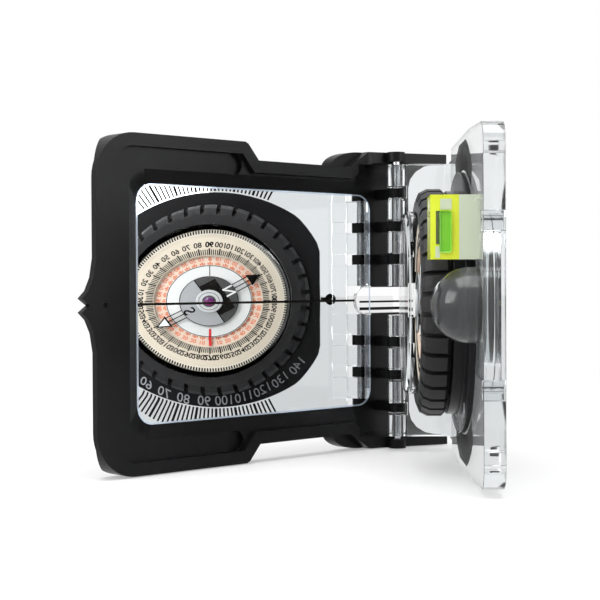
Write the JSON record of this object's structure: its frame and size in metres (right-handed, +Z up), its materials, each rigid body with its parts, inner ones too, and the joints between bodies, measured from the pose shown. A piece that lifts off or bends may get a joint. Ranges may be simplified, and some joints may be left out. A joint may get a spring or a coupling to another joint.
{
  "type": "geological compass",
  "caption": "Mirror sighting compass with a clear base plate, turning dial, clinometer, level and lens, its black mirror lid hinged part open, standing on its long edge.",
  "frame": {"origin": "middle of the base plate's lower long edge, below the dial's axis", "axes": "+X out of the base plate's underside along the dial's axis, +Y along the base plate towards the hinge, +Z up along the hinge axis"},
  "size_m": [0.0737, 0.0817, 0.063],
  "materials": {
    "clear_acrylic": "polished clear",
    "black_plastic": "satin black",
    "level_white": "milky clear",
    "level_yellow": "clear yellow-green",
    "level_fluid": "clear green fluid",
    "steel": "ground",
    "brass": "turned",
    "scale_pink": "printed",
    "dial_beige": "printed",
    "seal_rubber": "matt",
    "printed_white": "matt white",
    "printed_black": "matt black",
    "grey_steel": "dull",
    "chrome": "polished",
    "ruby": "polished",
    "red_print": "matt red",
    "mirror_glass": "silvered",
    "pad_foam": "matt"
  },
  "bodies": {
    "base": {"base_plate": "clear_acrylic", "protractor_ring": "black_plastic", "level_bracket": "level_white", "level_block": "level_yellow", "level_vial": "level_fluid", "level_bubble": "level_white", "magnifier": "clear_acrylic", "hinge_pin_upper": "steel", "hinge_pin_lower": "steel"},
    "capsule": {"capsule_cup": "clear_acrylic", "orienting_disc": "printed_white", "pivot_post": "brass", "scale_plate": "scale_pink", "capsule_seal": "seal_rubber", "dial_ring": "dial_beige", "capsule_cover": "clear_acrylic", "bezel": "black_plastic"},
    "needle": {"needle_blade": "printed_white", "needle_tip": "printed_black", "needle_disc": "grey_steel", "needle_magnet": "grey_steel", "hub_ring": "chrome", "jewel": "ruby"},
    "pendulum": {"pendulum_disc": "printed_white", "pendulum_pointer": "red_print", "pendulum_weight": "brass"},
    "lid": {"lid_frame": "black_plastic", "mirror": "mirror_glass", "mirror_pad": "pad_foam", "sight_line": "printed_black", "sight_window": "clear_acrylic"}
  },
  "joints": [
    {"name": "lid_hinge", "type": "hinge", "parent": "base", "child": "lid", "pos_m": [-0.01285, 0.0333, 0.0315], "axis": [0, 0, -1], "range_deg": [-46, 69]},
    {"name": "bezel_turn", "type": "hinge", "parent": "base", "child": "capsule", "pos_m": [-0.00185, 0, 0.0315], "axis": [-1, 0, 0], "continuous": true},
    {"name": "needle_swing", "type": "hinge", "parent": "capsule", "child": "needle", "pos_m": [-0.0103, 0, 0.0315], "axis": [-1, 0, 0], "continuous": true},
    {"name": "clinometer_swing", "type": "hinge", "parent": "capsule", "child": "pendulum", "pos_m": [-0.0095, 0, 0.0315], "axis": [-1, 0, 0], "continuous": true}
  ]
}
